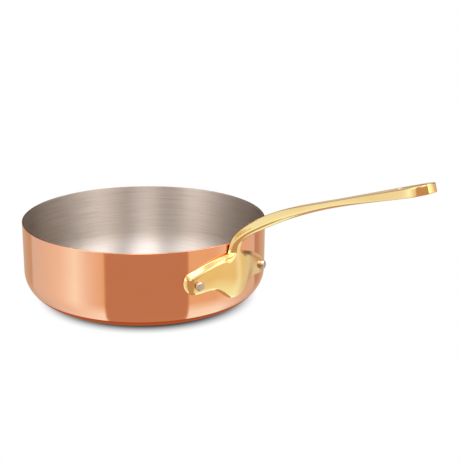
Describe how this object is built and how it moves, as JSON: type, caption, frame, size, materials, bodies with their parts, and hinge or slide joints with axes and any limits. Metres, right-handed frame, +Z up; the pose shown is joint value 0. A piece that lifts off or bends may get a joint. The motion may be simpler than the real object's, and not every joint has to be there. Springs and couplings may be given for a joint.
{
  "type": "saute pan",
  "caption": "Straight-sided saute pan: a copper bowl with a bonded steel lining and a long cast brass handle, whose lobed flange is riveted to the wall.",
  "frame": {"origin": "centre of the underside of the flat base", "axes": "+X along the handle, away from the bowl; +Z up, out of the bowl's mouth; +Y to the left of the handle"},
  "size_m": [0.4479, 0.24, 0.1701],
  "materials": {
    "copper": "polished",
    "lining": "brushed round the wall",
    "handle": "polished cast",
    "rivet": "satin"
  },
  "bodies": {
    "root": {"copper_body": "copper", "steel_lining": "lining", "handle": "handle", "rivet_left": "rivet", "rivet_right": "rivet"}
  },
  "joints": []
}
